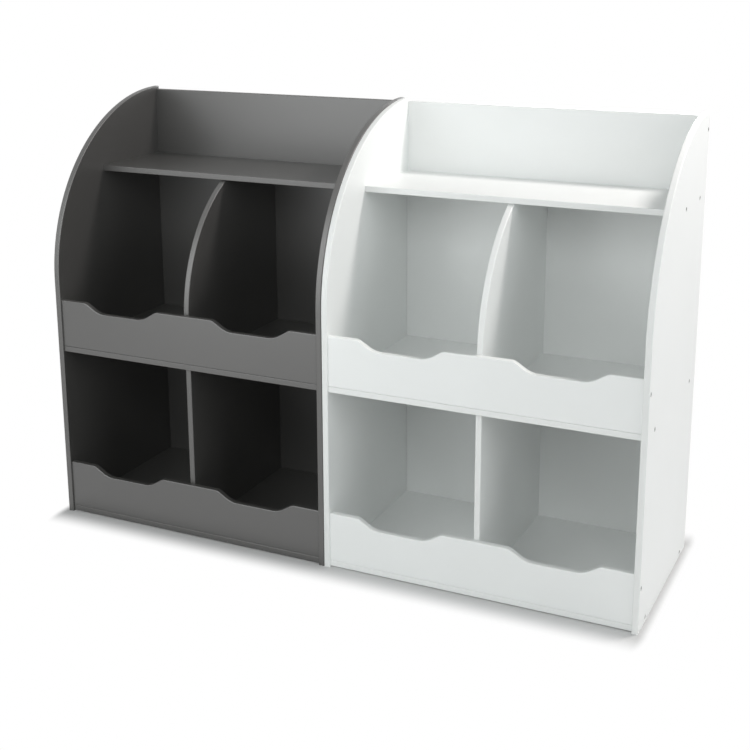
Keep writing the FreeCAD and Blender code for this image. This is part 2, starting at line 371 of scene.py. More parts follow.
def sink_side_grooves(bm, unit, inner_x, into):
    """Sinks the grooves of the thin backs into the inner face of a side."""
    gap = bpy.context.scene.organizer_boards.groove_gap
    outlines = []
    for storey in ("lower", "upper"):
        low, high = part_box(unit + "_" + storey + "_back_panel")
        front = low.y - gap
        outlines.append([
            Vector((inner_x, front, low.z)), Vector((inner_x, high.y, low.z)),
            Vector((inner_x, high.y, high.z)), Vector((inner_x, front, high.z))])
    end = low.x if into.x < 0 else high.x
    sink(bm, outlines, into, abs(end - inner_x) + gap / 2)


def sink_shelf_groove(bm, unit, storey, shelf_low, shelf_high, into):
    """Sinks the groove of one thin back into a shelf, from end to end."""
    gap = bpy.context.scene.organizer_boards.groove_gap
    low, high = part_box(unit + "_" + storey + "_back_panel")
    level, end = (shelf_high.z, low.z) if into.z < 0 else (shelf_low.z, high.z)
    first, last, front = shelf_low.x + gap / 2, shelf_high.x - gap / 2, low.y - gap
    outline = [
        Vector((first, front, level)), Vector((last, front, level)),
        Vector((last, high.y, level)), Vector((first, high.y, level))]
    sink(bm, [outline], into, abs(end - level) + gap / 2)


def mark_edge_band(bm, broad_axis):
    """Turns the faces outward and marks the narrow ones, which have the edge finish."""
    bmesh.ops.recalc_face_normals(bm, faces=bm.faces)
    layer = bm.faces.layers.float.new("edge_band")
    for face in bm.faces:
        face[layer] = 0.0 if abs(face.normal[broad_axis]) > BROAD_FACE_COSINE else 1.0


def add_piece(bm, node, suffix, material):
    """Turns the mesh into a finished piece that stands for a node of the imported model."""
    bmesh.ops.recalc_face_normals(bm, faces=bm.faces)
    for face in bm.faces:
        face.smooth = True
    for edge in bm.edges:
        edge.smooth = edge.is_manifold and edge.calc_face_angle(0.0) < SHARP_ANGLE
    mesh = bpy.data.meshes.new(node + suffix)
    bm.to_mesh(mesh)
    bm.free()
    piece = bpy.data.objects.new(node + suffix, mesh)
    bpy.context.scene.collection.objects.link(piece)
    mesh.materials.append(material)
    weighted = piece.modifiers.new("Even normals", "WEIGHTED_NORMAL")
    weighted.keep_sharp = True
    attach(piece, BODY)
    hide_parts(node)
    return piece


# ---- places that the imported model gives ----


def side_screw_places(unit, outer_x):
    """Centres of the nine screw heads on the outer face of a side."""
    screws = bpy.context.scene.organizer_screws
    places = []
    for shelf in ("bottom_shelf", "middle_shelf", "top_shelf"):
        low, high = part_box(unit + "_" + shelf)
        height = (low.z + high.z) / 2
        places.append(Vector((outer_x, low.y + screws.shelf_inset, height)))
        places.append(Vector((outer_x, high.y - screws.shelf_inset, height)))
    for front in ("lower_front", "upper_front"):
        low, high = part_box(unit + "_" + front)
        places.append(Vector((outer_x, (low.y + high.y) / 2, low.z + screws.front_height)))
    low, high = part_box(unit + "_top_back")
    places.append(Vector((outer_x, (low.y + high.y) / 2, high.z - screws.back_drop)))
    return places


def divider_screw_places(unit):
    """Centres of the screw heads under the bottom shelf."""
    screws = bpy.context.scene.organizer_screws
    shelf_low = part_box(unit + "_bottom_shelf")[0]
    low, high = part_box(unit + "_lower_divider")
    middle = (low.x + high.x) / 2
    depths = (low.y + screws.divider_inset, high.y - screws.divider_inset)
    return [Vector((middle, depth, shelf_low.z)) for depth in depths]


# ---- the boards ----


def make_side(unit, hand):
    """Side panel: straight front edge below, a quarter ellipse up to the top rear corner."""
    sizes = bpy.context.scene.organizer_boards
    node = unit + "_" + hand + "_side"
    low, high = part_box(node)
    outer_x, inner_x = (low.x, high.x) if hand == "left" else (high.x, low.x)
    inward = Vector((1, 0, 0)) if hand == "left" else Vector((-1, 0, 0))
    foot = high.z - sizes.curve_height
    bm = bmesh.new()
    start = bm.verts.new((outer_x, low.y, foot))
    centre = Vector((outer_x, high.y, foot))
    end = swing(bm, start, centre, -math.pi / 2, SIDE_CURVE_STEPS)
    flatten = (1, 1, sizes.curve_height / (high.y - low.y))
    bmesh.ops.scale(bm, vec=flatten, space=Matrix.Translation(-centre), verts=bm.verts[:])
    low_rear = bm.verts.new((outer_x, high.y, low.z))
    low_front = bm.verts.new((outer_x, low.y, low.z))
    for pair in ((end, low_rear), (low_rear, low_front), (low_front, start)):
        bm.edges.new(pair)
    bmesh.ops.contextual_create(bm, geom=bm.edges[:])
    push(bm, Vector((inner_x - outer_x, 0, 0)))

    def on_rim(edge):
        broad = is_flat_on(edge, 0, outer_x) or is_flat_on(edge, 0, inner_x)
        return broad and not is_flat_on(edge, 2, low.z)

    round_edges(bm, sizes.edge_radius, EDGE_STEPS, on_rim)
    mark_edge_band(bm, 0)
    sink_recesses(bm, side_screw_places(unit, outer_x), inward)
    sink_side_grooves(bm, unit, inner_x, -inward)
    return add_piece(bm, node, "_panel", board_paint(unit))


def make_shelf(unit, name):
    """Shelf with softened front edges."""
    sizes = bpy.context.scene.organizer_boards
    node = unit + "_" + name
    low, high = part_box(node)
    bm = bmesh.new()
    block(bm, low, high)
    round_edges(bm, sizes.shelf_radius, EDGE_STEPS, lambda edge: is_flat_on(edge, 1, low.y) and (
        is_flat_on(edge, 2, low.z) or is_flat_on(edge, 2, high.z)))
    round_edges(bm, sizes.seam_radius / 2, 1, lambda edge: is_flat_on(edge, 1, high.y) and (
        is_flat_on(edge, 2, low.z) or is_flat_on(edge, 2, high.z)))
    mark_edge_band(bm, 2)
    if name == "bottom_shelf":
        sink_recesses(bm, divider_screw_places(unit), Vector((0, 0, 1)))
    if name != "top_shelf":
        storey = "lower" if name == "bottom_shelf" else "upper"
        sink_shelf_groove(bm, unit, storey, low, high, Vector((0, 0, -1)))
    if name != "bottom_shelf":
        storey = "upper" if name == "top_shelf" else "lower"
        sink_shelf_groove(bm, unit, storey, low, high, Vector((0, 0, 1)))
    return add_piece(bm, node, "_board", board_paint(unit))


def make_top_back(unit):
    """Back board above the top shelf, with rounded top edges."""
    sizes = bpy.context.scene.organizer_boards
    node = unit + "_top_back"
    low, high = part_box(node)
    bm = bmesh.new()
    block(bm, low, high)
    round_edges(bm, sizes.edge_radius, EDGE_STEPS, lambda edge: is_flat_on(edge, 2, high.z) and (
        is_flat_on(edge, 1, low.y) or is_flat_on(edge, 1, high.y)))
    mark_edge_band(bm, 1)
    return add_piece(bm, node, "_board", board_paint(unit))


def make_thin_back(unit, storey):
    """Thin back of one storey of bins, between its grooves."""
    sizes = bpy.context.scene.organizer_boards
    node = unit + "_" + storey + "_back_panel"
    low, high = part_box(node)
    bm = bmesh.new()
    block(bm, low, high)
    round_edges(bm, sizes.seam_radius / 2, 1, lambda edge: True)
    mark_edge_band(bm, 1)
    return add_piece(bm, node, "_sheet", thin_board_paint(unit))


def make_lower_divider(unit):
    """Upright board with a straight front edge."""
    sizes = bpy.context.scene.organizer_boards
    node = unit + "_lower_divider"
    low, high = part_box(node)
    bm = bmesh.new()
    block(bm, low, high)
    round_edges(bm, sizes.edge_radius, EDGE_STEPS, lambda edge: is_flat_on(edge, 1, low.y) and (
        is_flat_on(edge, 0, low.x) or is_flat_on(edge, 0, high.x)))
    mark_edge_band(bm, 0)
    return add_piece(bm, node, "_board", board_paint(unit))


def make_upper_divider(unit):
    """Upright board whose front edge curves back to the top shelf."""
    sizes = bpy.context.scene.organizer_boards
    node = unit + "_upper_divider"
    low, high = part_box(node)
    head_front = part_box(unit + "_top_shelf")[0].y + sizes.divider_setback
    curve_foot = low.z + sizes.divider_curve_start
    back = head_front - low.y
    rise = high.z - curve_foot
    radius = (back * back + rise * rise) / (2 * back)
    bm = bmesh.new()
    start = bm.verts.new((low.x, low.y, curve_foot))
    centre = Vector((low.x, low.y + radius, curve_foot))
    head = swing(bm, start, centre, -math.asin(rise / radius), DIVIDER_CURVE_STEPS)
    head_rear = bm.verts.new((low.x, high.y, high.z))
    foot_rear = bm.verts.new((low.x, high.y, low.z))
    foot_front = bm.verts.new((low.x, low.y, low.z))
    chain = (head, head_rear, foot_rear, foot_front, start)
    for pair in zip(chain, chain[1:]):
        bm.edges.new(pair)
    bmesh.ops.contextual_create(bm, geom=bm.edges[:])
    push(bm, Vector((high.x - low.x, 0, 0)))

    def on_nose(edge):
        broad = is_flat_on(edge, 0, low.x) or is_flat_on(edge, 0, high.x)
        level = is_flat_on(edge, 2, low.z) or is_flat_on(edge, 2, high.z)
        return broad and not level and not is_flat_on(edge, 1, high.y)

    round_edges(bm, sizes.edge_radius, EDGE_STEPS, on_nose)
    mark_edge_band(bm, 0)
    return add_piece(bm, node, "_board", board_paint(unit))


def make_front(unit, storey):
    """Front with a rounded dip before each bin."""
    sizes = bpy.context.scene.organizer_boards
    dips = bpy.context.scene.organizer_fronts
    node = unit + "_" + storey + "_front"
    low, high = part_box(node)
    low.z += sizes.front_lift
    divider_low, divider_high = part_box(unit + "_" + storey + "_divider")
    floor = high.z - dips.dip_depth
    bm = bmesh.new()
    outline = [bm.verts.new((low.x, low.y, low.z)), bm.verts.new((low.x, low.y, high.z))]
    rim_corners, floor_corners = [], []
    for left, right in ((low.x, divider_low.x), (divider_high.x, high.x)):
        middle = (left + right) / 2
        for side in (-1, 1):
            rim = bm.verts.new((middle + side * dips.dip_top_width / 2, low.y, high.z))
            foot = bm.verts.new((middle + side * dips.dip_floor_width / 2, low.y, floor))
            outline += [rim, foot] if side < 0 else [foot, rim]
            rim_corners.append(rim)
            floor_corners.append(foot)
    outline += [bm.verts.new((high.x, low.y, high.z)), bm.verts.new((high.x, low.y, low.z))]
    bm.faces.new(outline)
    run = (dips.dip_top_width - dips.dip_floor_width) / 2
    half_turn = math.tan(math.atan2(dips.dip_depth, run) / 2)
    round_corners(bm, rim_corners, dips.rim_rounding * half_turn, RIM_CORNER_STEPS)
    round_corners(bm, floor_corners, dips.floor_rounding * half_turn, FLOOR_CORNER_STEPS)
    push(bm, Vector((0, high.y - low.y, 0)))

    def on_rim(edge):
        level = is_flat_on(edge, 1, low.y) or is_flat_on(edge, 1, high.y)
        end = is_flat_on(edge, 0, low.x) or is_flat_on(edge, 0, high.x)
        return level and not end and not is_flat_on(edge, 2, low.z)

    round_edges(bm, sizes.edge_radius, EDGE_STEPS, on_rim)
    round_edges(bm, sizes.seam_radius, 2, lambda edge: (
        is_flat_on(edge, 2, low.z) and is_flat_on(edge, 1, low.y)))
    mark_edge_band(bm, 1)
    return add_piece(bm, node, "_board", board_paint(unit))


# ---- the screws ----


def add_screw(bm, place, inward):
    """One screw with a rounded head, a hexagon socket and a plain shank."""
    sizes = bpy.context.scene.organizer_screws
    turn = Vector((0, 0, -1)).rotation_difference(inward).to_matrix().to_4x4()
    before = set(bm.verts)
    head = bmesh.ops.create_circle(
        bm, cap_ends=False, radius=sizes.head_radius, segments=HEAD_SIDES,
        matrix=Matrix.Translation((0, 0, -sizes.recess)))["verts"]
    socket = bmesh.ops.create_circle(
        bm, cap_ends=False, radius=sizes.socket_width / math.sqrt(3), segments=6,
        matrix=Matrix.Translation((0, 0, -sizes.recess)))["verts"]
    head_rim = list({edge for vert in head for edge in vert.link_edges})
    socket_rim = list({edge for vert in socket for edge in vert.link_edges})
    bmesh.ops.triangle_fill(
        bm, use_beauty=True, use_dissolve=False, edges=head_rim + socket_rim, normal=(0, 0, 1))
    socket_foot = deepen(bm, socket_rim, sizes.socket_depth)
    bmesh.ops.contextual_create(bm, geom=socket_foot)
    under_head = deepen(bm, head_rim, sizes.head_height - sizes.recess)
    shank_top = narrow(bm, under_head, sizes.shank_radius / sizes.head_radius)
    tip_start = deepen(bm, shank_top, sizes.length - sizes.head_height - 2 * sizes.shank_radius)
    tip = narrow(bm, deepen(bm, tip_start, 0.0), TIP_SHARE)
    lower = list({vert for edge in tip for vert in edge.verts})
    bmesh.ops.translate(bm, vec=(0, 0, -2 * sizes.shank_radius), verts=lower)
    bmesh.ops.contextual_create(bm, geom=tip)
    fresh = [vert for vert in bm.verts if vert not in before]
    bmesh.ops.remove_doubles(bm, verts=fresh, dist=1e-6)
    bevelled = [edge for edge in head_rim if edge.is_valid]
    bmesh.ops.bevel(
        bm, geom=bevelled, offset=HEAD_ROUNDING, offset_type="OFFSET", segments=3, profile=0.5,
        affect="EDGES", clamp_overlap=True, material=-1)
    fresh = [vert for vert in bm.verts if vert not in before]
    bmesh.ops.transform(bm, matrix=Matrix.Translation(place) @ turn, verts=fresh)


def deepen(bm, rim, depth):
    """Extends a ring of edges straight down and returns the new ring."""
    return extend(bm, rim, (0, 0, -depth))


def narrow(bm, rim, share):
    """Extends a ring of edges inwards in its own plane and returns the new ring."""
    ring = deepen(bm, rim, 0.0)
    verts = list({vert for edge in ring for vert in edge.verts})
    bmesh.ops.scale(bm, vec=(share, share, 1), verts=verts)
    return ring


def make_screws(node, places, inward):
    """Group of screws that stands for one node."""
    bm = bmesh.new()
    for place in places:
        add_screw(bm, place, inward)
    return add_piece(bm, node, "_set", plated_steel())


# ---- finishes ----


def group_tree(name, inputs, outputs):
    """New shader node group with named sockets, and its two end nodes."""
    tree = bpy.data.node_groups.new(name, "ShaderNodeTree")
    for label, kind, value in inputs:
        socket = tree.interface.new_socket(name=label, in_out="INPUT", socket_type=kind)
        socket.default_value = value
    for label, kind in outputs:
        tree.interface.new_socket(name=label, in_out="OUTPUT", socket_type=kind)
    start = tree.nodes.new("NodeGroupInput")
    start.location = (-900, 0)
    end = tree.nodes.new("NodeGroupOutput")
    end.location = (900, 0)
    return tree, start, end


def place_node(tree, kind, location, **settings):
    """New node with its settings and location."""
    node = tree.nodes.new(kind)
    node.location = location
    for key, value in settings.items():
        setattr(node, key, value)
    return node


def noise(tree, coordinates, location, scale, detail, roughness):
    """Noise texture on the given coordinates."""
    node = place_node(tree, "ShaderNodeTexNoise", location)
    node.inputs["Scale"].default_value = scale
    node.inputs["Detail"].default_value = detail
    node.inputs["Roughness"].default_value = roughness
    tree.links.new(coordinates, node.inputs["Vector"])
    return node.outputs["Fac"]


def spread(tree, value, location, low, high):
    """Maps the middle of a noise value to the range between two numbers."""
    node = place_node(tree, "ShaderNodeMapRange", location)
    node.inputs["From Min"].default_value = 0.3
    node.inputs["From Max"].default_value = 0.7
    node.inputs["To Min"].default_value = low
    node.inputs["To Max"].default_value = high
    tree.links.new(value, node.inputs["Value"])
    return node.outputs["Result"]


def maths(tree, operation, first, second, location):
    """Maths node on two sockets or numbers."""
    node = place_node(tree, "ShaderNodeMath", location, operation=operation)
    for socket, value in zip(node.inputs, (first, second)):
        if isinstance(value, (int, float)):
            socket.default_value = value
        else:
            tree.links.new(value, socket)
    return node.outputs[0]


def paint_skin():
    """Group: sprayed satin paint on fibreboard, with a finish of its own on the narrow edges."""
    if "Paint skin" in bpy.data.node_groups:
        return bpy.data.node_groups["Paint skin"]
    tree, start, end = group_tree(
        "Paint skin",
        [
            ("Face Colour", "NodeSocketColor", (0.5, 0.5, 0.5, 1)),
            ("Edge Colour", "NodeSocketColor", (0.5, 0.5, 0.5, 1)),
            ("Edge Mask", "NodeSocketFloat", 0.0),
            ("Face Roughness", "NodeSocketFloat", 0.4),
            ("Edge Roughness", "NodeSocketFloat", 0.5),
            ("Mottle", "NodeSocketFloat", 0.02),
        ],
        [("Colour", "NodeSocketColor"), ("Roughness", "NodeSocketFloat"),
         ("Height", "NodeSocketFloat")])
    links = tree.links
    where = place_node(tree, "ShaderNodeTexCoord", (-900, -400)).outputs["Object"]
    clouds = noise(tree, where, (-650, -100), 7.0, 3.0, 0.5)
    peel = noise(tree, where, (-650, -350), 420.0, 2.0, 0.5)
    fibres = noise(tree, where, (-650, -600), 1500.0, 3.0, 0.7)
    mixed = place_node(tree, "ShaderNodeMix", (-400, 250), data_type="RGBA")
    links.new(start.outputs["Edge Mask"], mixed.inputs["Factor"])
    links.new(start.outputs["Face Colour"], mixed.inputs[6])
    links.new(start.outputs["Edge Colour"], mixed.inputs[7])
    swing_amount = maths(
        tree, "MULTIPLY", spread(tree, clouds, (-400, 0), -1.0, 1.0),
        start.outputs["Mottle"], (-200, 0))
    gain = maths(tree, "ADD", swing_amount, 1.0, (0, 0))
    tinted = place_node(tree, "ShaderNodeVectorMath", (200, 200), operation="SCALE")
    links.new(mixed.outputs[2], tinted.inputs[0])
    links.new(gain, tinted.inputs["Scale"])
    links.new(tinted.outputs[0], end.inputs["Colour"])
    dullness = place_node(tree, "ShaderNodeMix", (-200, -200), data_type="FLOAT")
    links.new(start.outputs["Edge Mask"], dullness.inputs["Factor"])
    links.new(start.outputs["Face Roughness"], dullness.inputs[2])
    links.new(start.outputs["Edge Roughness"], dullness.inputs[3])
    patches = spread(tree, peel, (-400, -250), -0.03, 0.03)
    links.new(maths(tree, "ADD", dullness.outputs[0], patches, (200, -200)),
              end.inputs["Roughness"])
    raised = maths(tree, "MULTIPLY", fibres, start.outputs["Edge Mask"], (-200, -500))
    raised = maths(tree, "MULTIPLY", raised, 0.6, (0, -500))
    links.new(maths(tree, "ADD", peel, raised, (200, -450)), end.inputs["Height"])
    return tree


def new_material(name):
    """Empty node material with its Principled shader."""
    material = bpy.data.materials.new(name)
    material.use_nodes = True
    tree = material.node_tree
    return material, tree, tree.nodes["Principled BSDF"]


def painted(name, face, edge, roughness, edge_roughness, mottle, relief, gloss):
    """Painted board material built on the paint group."""
    if name in bpy.data.materials:
        return bpy.data.materials[name]
    material, tree, shader = new_material(name)
    skin = place_node(tree, "ShaderNodeGroup", (-500, 100), node_tree=paint_skin())
    skin.inputs["Face Colour"].default_value = (*face, 1)
    skin.inputs["Edge Colour"].default_value = (*edge, 1)
    skin.inputs["Face Roughness"].default_value = roughness
    skin.inputs["Edge Roughness"].default_value = edge_roughness
    skin.inputs["Mottle"].default_value = mottle
    band = place_node(tree, "ShaderNodeAttribute", (-750, 100), attribute_name="edge_band")
    tree.links.new(band.outputs["Fac"], skin.inputs["Edge Mask"])
    bump = place_node(tree, "ShaderNodeBump", (-250, -250))
    bump.inputs["Strength"].default_value = 1.0
    bump.inputs["Distance"].default_value = relief
    tree.links.new(skin.outputs["Colour"], shader.inputs["Base Color"])
    tree.links.new(skin.outputs["Roughness"], shader.inputs["Roughness"])
    tree.links.new(skin.outputs["Height"], bump.inputs["Height"])
    tree.links.new(bump.outputs["Normal"], shader.inputs["Normal"])
    shader.inputs["IOR"].default_value = 1.5
    shader.inputs["Specular IOR Level"].default_value = gloss
    return material


def board_paint(unit):
    """Satin paint of the 12 mm boards."""
    colours = bpy.context.scene.organizer_colours
    if unit == "grey":
        return painted(
            "Grey satin board", colours.grey_face, colours.grey_edge, roughness=0.34,
            edge_roughness=0.42, mottle=0.03, relief=0.00002, gloss=1.1)
    return painted(
        "White satin board", colours.white_face, colours.white_edge, roughness=0.34,
        edge_roughness=0.42, mottle=0.008, relief=0.00002, gloss=0.7)


def thin_board_paint(unit):
    """Paint of the thin backs, a little duller than that of the boards."""
    colours = bpy.context.scene.organizer_colours
    if unit == "grey":
        return painted(
            "Grey thin board", colours.grey_face, colours.grey_edge, roughness=0.4,
            edge_roughness=0.5, mottle=0.04, relief=0.00003, gloss=1.0)
    return painted(
        "White thin board", colours.white_face, colours.white_edge, roughness=0.4,
        edge_roughness=0.5, mottle=0.01, relief=0.00003, gloss=0.7)


def plated_steel():
    """Dull plated steel of the screws."""
    if "Plated steel" in bpy.data.materials:
        return bpy.data.materials["Plated steel"]
    material, tree, shader = new_material("Plated steel")
    colour = bpy.context.scene.organizer_colours.steel
    where = place_node(tree, "ShaderNodeTexCoord", (-900, 0)).outputs["Object"]
    scratches = noise(tree, where, (-700, 0), 900.0, 4.0, 0.6)
    ramp = place_node(tree, "ShaderNodeValToRGB", (-500, 200))
    ramp.color_ramp.elements[0].color = (*[0.7 * part for part in colour], 1)
    ramp.color_ramp.elements[1].color = (*colour, 1)
    tree.links.new(scratches, ramp.inputs["Fac"])
    tree.links.new(ramp.outputs["Color"], shader.inputs["Base Color"])
    tree.links.new(spread(tree, scratches, (-500, -100), 0.3, 0.5), shader.inputs["Roughness"])
    shader.inputs["Metallic"].default_value = 1.0
    return material


def bare_beech():
    """Bare beech of the dowels, with its grain along the height."""
    if "Bare beech" in bpy.data.materials:
        return bpy.data.materials["Bare beech"]
    material, tree, shader = new_material("Bare beech")
    colour = bpy.context.scene.organizer_colours.beech
    where = place_node(tree, "ShaderNodeTexCoord", (-1100, 0)).outputs["Object"]
    stretch = place_node(tree, "ShaderNodeMapping", (-900, 0))
    stretch.inputs["Scale"].default_value = (1.0, 1.0, 0.08)
    tree.links.new(where, stretch.inputs["Vector"])
    grain = noise(tree, stretch.outputs["Vector"], (-700, 0), 1400.0, 5.0, 0.6)
    ramp = place_node(tree, "ShaderNodeValToRGB", (-500, 200))
    ramp.color_ramp.elements[0].color = (*[0.72 * part for part in colour], 1)
    ramp.color_ramp.elements[1].color = (*colour, 1)
    tree.links.new(grain, ramp.inputs["Fac"])
    tree.links.new(ramp.outputs["Color"], shader.inputs["Base Color"])
    tree.links.new(spread(tree, grain, (-500, -100), 0.55, 0.75), shader.inputs["Roughness"])
    bump = place_node(tree, "ShaderNodeBump", (-250, -250))
    bump.inputs["Distance"].default_value = 0.0001
    tree.links.new(grain, bump.inputs["Height"])
    tree.links.new(bump.outputs["Normal"], shader.inputs["Normal"])
    return material


# ---- the stage ----


def seen_directly(tree, location):
    """One for camera, glossy and transmission rays, nought for light that surfaces share."""
    path = place_node(tree, "ShaderNodeLightPath", location)
    x, y = location
    direct = maths(tree, "MAXIMUM", path.outputs["Is Camera Ray"],
                   path.outputs["Is Glossy Ray"], (x + 200, y))
    return maths(tree, "MAXIMUM", direct, path.outputs["Is Transmission Ray"], (x + 400, y))


def footprint_distance(tree, low, high, location):
    """Distance on the floor from the pair's outline, which grows faster beside its ends."""
    x, y = location
    where = place_node(tree, "ShaderNodeTexCoord", location)
    parts = place_node(tree, "ShaderNodeSeparateXYZ", (x + 200, y))
    tree.links.new(where.outputs["Object"], parts.inputs[0])
    gaps = []
    for index, steepness, drop in ((0, FADE_AT_ENDS, 0), (1, FADE_AT_FRONT, -200)):
        middle = (low[index] + high[index]) / 2
        half = (high[index] - low[index]) / 2
        off = maths(tree, "SUBTRACT", parts.outputs[index], middle, (x + 400, y + drop))
        off = maths(tree, "ABSOLUTE", off, 0.0, (x + 600, y + drop))
        off = maths(tree, "SUBTRACT", off, half, (x + 800, y + drop))
        off = maths(tree, "MAXIMUM", off, 0.0, (x + 1000, y + drop))
        off = maths(tree, "MULTIPLY", off, steepness, (x + 1100, y + drop))
        gaps.append(maths(tree, "MULTIPLY", off, off, (x + 1200, y + drop)))
    return maths(tree, "SQRT", maths(tree, "ADD", *gaps, (x + 1400, y)), 0.0, (x + 1600, y))


def add_floor():
    """Wide white floor that keeps the soft shadow around the pair's foot."""
    stage = bpy.context.scene.organizer_stage
    low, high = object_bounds()
    bm = bmesh.new()
    bmesh.ops.create_grid(bm, x_segments=1, y_segments=1, size=30.0)
    mesh = bpy.data.meshes.new("studio_floor")
    bm.to_mesh(mesh)
    bm.free()
    floor = bpy.data.objects.new("studio_floor", mesh)
    bpy.context.scene.collection.objects.link(floor)
    material = bpy.data.materials.new("Studio floor")
    material.use_nodes = True
    tree = material.node_tree
    tree.nodes.clear()
    path = place_node(tree, "ShaderNodeLightPath", (-1000, 400))
    pale = place_node(tree, "ShaderNodeMapRange", (-600, 300))
    pale.inputs["To Min"].default_value = SHARED_FLOOR_PALENESS
    pale.inputs["To Max"].default_value = stage.floor_gain
    tree.links.new(path.outputs["Is Camera Ray"], pale.inputs["Value"])
    colour = place_node(tree, "ShaderNodeCombineColor", (-400, 300))
    for socket in colour.inputs[:3]:
        tree.links.new(pale.outputs["Result"], socket)
    matt = place_node(tree, "ShaderNodeBsdfDiffuse", (-200, 200))
    tree.links.new(colour.outputs[0], matt.inputs["Color"])
    light = place_node(tree, "ShaderNodeEmission", (-200, 0))
    light.inputs["Color"].default_value = (1, 1, 1, 1)
    light.inputs["Strength"].default_value = 1.0
    fade = place_node(
        tree, "ShaderNodeMapRange", (-600, -300), interpolation_type="SMOOTHSTEP")
    fade.inputs["From Max"].default_value = stage.shadow_reach
    tree.links.new(footprint_distance(tree, low, high, (-2600, -300)), fade.inputs["Value"])
    share = maths(tree, "MULTIPLY", fade.outputs["Result"],
                  seen_directly(tree, (-1000, -600)), (-200, -300))
    both = place_node(tree, "ShaderNodeMixShader", (100, 0))
    tree.links.new(share, both.inputs["Fac"])
    tree.links.new(matt.outputs[0], both.inputs[1])
    tree.links.new(light.outputs[0], both.inputs[2])
    out = place_node(tree, "ShaderNodeOutputMaterial", (400, 0))
    tree.links.new(both.outputs[0], out.inputs["Surface"])
    material.cycles.emission_sampling = "NONE"
    mesh.materials.append(material)
    floor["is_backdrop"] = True


def add_softbox(name, place, target, width, height, power, tint):
    """Soft rectangular lamp that faces a target."""
    lamp = bpy.data.lights.new(name, "AREA")
    lamp.shape = "RECTANGLE"
    lamp.size, lamp.size_y = width, height
    lamp.energy = power
    lamp.color = tint
    box = bpy.data.objects.new(name, lamp)
    box.location = place
    aim = Vector(target) - Vector(place)
    box.rotation_euler = aim.to_track_quat("-Z", "Y").to_euler()
    box.visible_camera = False
    bpy.context.scene.collection.objects.link(box)


def add_world():
    """Even white studio: white where it is seen, gentler as light."""
    world = bpy.data.worlds.new("Studio")
    bpy.context.scene.world = world
    world.use_nodes = True
    tree = world.node_tree
    back = tree.nodes["Background"]
    back.inputs["Color"].default_value = (1, 1, 1, 1)
    ambient = bpy.context.scene.organizer_stage.ambient
    direct = seen_directly(tree, (-900, 0))
    strength = place_node(tree, "ShaderNodeMapRange", (-250, 0))
    strength.inputs["To Min"].default_value = ambient
    strength.inputs["To Max"].default_value = 1.0
    tree.links.new(direct, strength.inputs["Value"])
    tree.links.new(strength.outputs["Result"], back.inputs["Strength"])
    world.cycles.sampling_method = "NONE"


def add_camera():
    """Camera near the photograph's viewpoint, placed so that the other views stay in frame."""
    stage = bpy.context.scene.organizer_stage
    data = bpy.data.cameras.new("Camera")
    data.sensor_width = 36.0
    data.lens = stage.camera_lens
    data.shift_y = stage.camera_shift
    camera = bpy.data.objects.new("Camera", data)
    turn = Euler((math.pi / 2 + stage.camera_pitch, 0, stage.camera_yaw)).to_matrix()
    turn = turn @ Matrix.Rotation(stage.camera_roll, 3, "Z")
    camera.matrix_world = Matrix.Translation(stage.camera_place) @ turn.to_4x4()
    bpy.context.scene.collection.objects.link(camera)
    bpy.context.scene.camera = camera


# ---- operators ----


class ORGANIZER_OT_sides(bpy.types.Operator):
    """Make the four curved side panels"""

    bl_idname = "organizer.sides"
    bl_label = "Side panels"

    def execute(self, context):
        for unit in UNITS:
            make_side(unit, "left")
            make_side(unit, "right")
        return {"FINISHED"}


class ORGANIZER_OT_shelves(bpy.types.Operator):
    """Make the three shelves of each organizer"""

    bl_idname = "organizer.shelves"
    bl_label = "Shelves"

    def execute(self, context):
        for unit in UNITS:
            for name in ("bottom_shelf", "middle_shelf", "top_shelf"):
                make_shelf(unit, name)
        return {"FINISHED"}


class ORGANIZER_OT_backs(bpy.types.Operator):
    """Make the back boards and the thin backs of the bins"""

    bl_idname = "organizer.backs"
    bl_label = "Backs"

    def execute(self, context):
        for unit in UNITS:
            make_top_back(unit)
            make_thin_back(unit, "upper")
            make_thin_back(unit, "lower")
        return {"FINISHED"}


class ORGANIZER_OT_dividers(bpy.types.Operator):
    """Make the curved upper and the straight lower dividers"""

    bl_idname = "organizer.dividers"
    bl_label = "Dividers"

    def execute(self, context):
        for unit in UNITS:
            make_upper_divider(unit)
            make_lower_divider(unit)
        return {"FINISHED"}


class ORGANIZER_OT_fronts(bpy.types.Operator):
    """Make the scalloped fronts of the bins"""

    bl_idname = "organizer.fronts"
    bl_label = "Scalloped fronts"

    def execute(self, context):
        for unit in UNITS:
            make_front(unit, "upper")
            make_front(unit, "lower")
        return {"FINISHED"}


class ORGANIZER_OT_screws(bpy.types.Operator):
    """Make the screws in the sides and under the dividers"""

    bl_idname = "organizer.screws"
    bl_label = "Screws"

    def execute(self, context):
        for unit in UNITS:
            left_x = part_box(unit + "_left_side")[0].x
            right_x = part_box(unit + "_right_side")[1].x
            right, left, up = Vector((1, 0, 0)), Vector((-1, 0, 0)), Vector((0, 0, 1))
            make_screws(unit + "_left_side_screws", side_screw_places(unit, left_x), right)
            make_screws(unit + "_right_side_screws", side_screw_places(unit, right_x), left)
            make_screws(unit + "_divider_screws", divider_screw_places(unit), up)
        return {"FINISHED"}


class ORGANIZER_OT_dowels(bpy.types.Operator):
    """Give the hidden dowels their bare wood"""

    bl_idname = "organizer.dowels"
    bl_label = "Dowels"

    def execute(self, context):
        for name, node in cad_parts.items():
            if name.endswith("_dowels"):
                node.data.materials.clear()
                node.data.materials.append(bare_beech())
        return {"FINISHED"}


